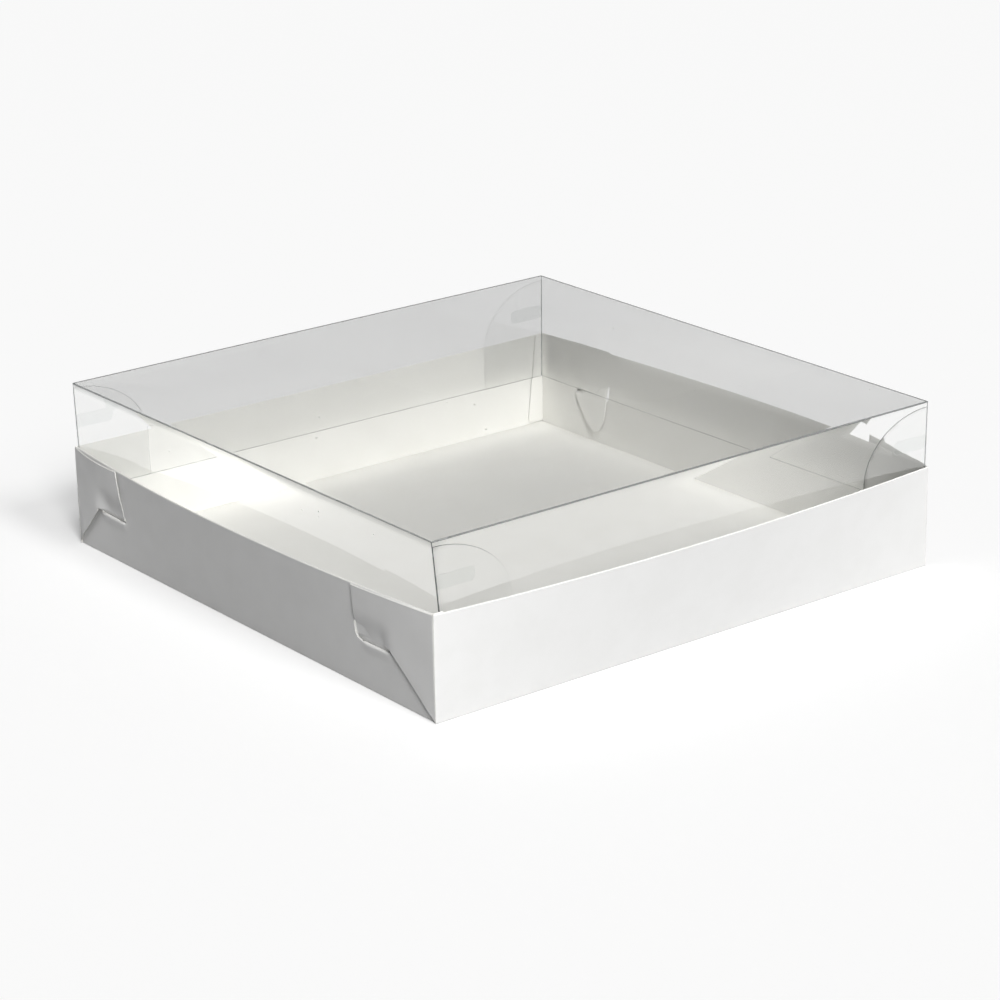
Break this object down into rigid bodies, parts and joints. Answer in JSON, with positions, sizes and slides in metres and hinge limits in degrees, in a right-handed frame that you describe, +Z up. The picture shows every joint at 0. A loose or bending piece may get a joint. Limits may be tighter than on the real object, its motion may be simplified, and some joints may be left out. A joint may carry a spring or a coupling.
{
  "type": "cake box",
  "caption": "Shallow square cake box: white folded board tray with locking corner flaps, and a clear film lid pushed inside its rim.",
  "frame": {"origin": "middle of the tray's underside, on the surface that it stands on", "axes": "+X from the left slotted wall to the right one, +Y from the front smooth wall to the back one, +Z up through the lid"},
  "size_m": [0.3746, 0.3594, 0.099],
  "materials": {
    "white_board": "satin",
    "clear_film": "gloss",
    "glue": "gloss"
  },
  "bodies": {
    "tray": {"tray_floor": "white_board", "tray_left_wall": "white_board", "tray_right_wall": "white_board", "left_wall_tab": "white_board", "right_wall_tab": "white_board"},
    "front_wall": {"tray_front_wall": "white_board"},
    "back_wall": {"tray_back_wall": "white_board"},
    "front_left_flap": {"front_left_flap": "white_board", "front_left_tongue": "white_board"},
    "back_left_flap": {"back_left_flap": "white_board", "back_left_tongue": "white_board"},
    "front_right_flap": {"front_right_flap": "white_board", "front_right_tongue": "white_board"},
    "back_right_flap": {"back_right_flap": "white_board", "back_right_tongue": "white_board"},
    "lid": {"lid_top": "clear_film", "lid_front_side": "clear_film", "lid_back_side": "clear_film", "lid_left_side": "clear_film", "lid_right_side": "clear_film", "lid_front_left_glue_flap": "clear_film", "lid_front_right_glue_flap": "clear_film", "lid_back_left_glue_flap": "clear_film", "lid_back_right_glue_flap": "clear_film", "lid_front_left_glue": "glue", "lid_front_right_glue": "glue", "lid_back_left_glue": "glue", "lid_back_right_glue": "glue"}
  },
  "joints": [
    {"name": "lid_lift", "type": "slide", "parent": "tray", "child": "lid", "axis": [0, 0, 1], "range_m": [0, 0.1]},
    {"name": "front_wall_fold", "type": "hinge", "parent": "tray", "child": "front_wall", "pos_m": [0, -0.175, 0], "axis": [1, 0, 0], "range_deg": [0, 80]},
    {"name": "back_wall_fold", "type": "hinge", "parent": "tray", "child": "back_wall", "pos_m": [0, 0.175, 0], "axis": [-1, 0, 0], "range_deg": [0, 80]},
    {"name": "front_left_flap_swing", "type": "hinge", "parent": "front_wall", "child": "front_left_flap", "pos_m": [-0.175, -0.175, 0], "axis": [0, 0, 1], "range_deg": [0, 84], "deforming": ["front_left_tongue"]},
    {"name": "back_left_flap_swing", "type": "hinge", "parent": "back_wall", "child": "back_left_flap", "pos_m": [-0.175, 0.175, 0], "axis": [0, 0, -1], "range_deg": [0, 80], "deforming": ["back_left_tongue"]},
    {"name": "front_right_flap_swing", "type": "hinge", "parent": "front_wall", "child": "front_right_flap", "pos_m": [0.175, -0.175, 0], "axis": [0, 0, -1], "range_deg": [0, 72], "deforming": ["front_right_tongue"]},
    {"name": "back_right_flap_swing", "type": "hinge", "parent": "back_wall", "child": "back_right_flap", "pos_m": [0.175, 0.175, 0], "axis": [0, 0, 1], "range_deg": [0, 84], "deforming": ["back_right_tongue"]}
  ]
}
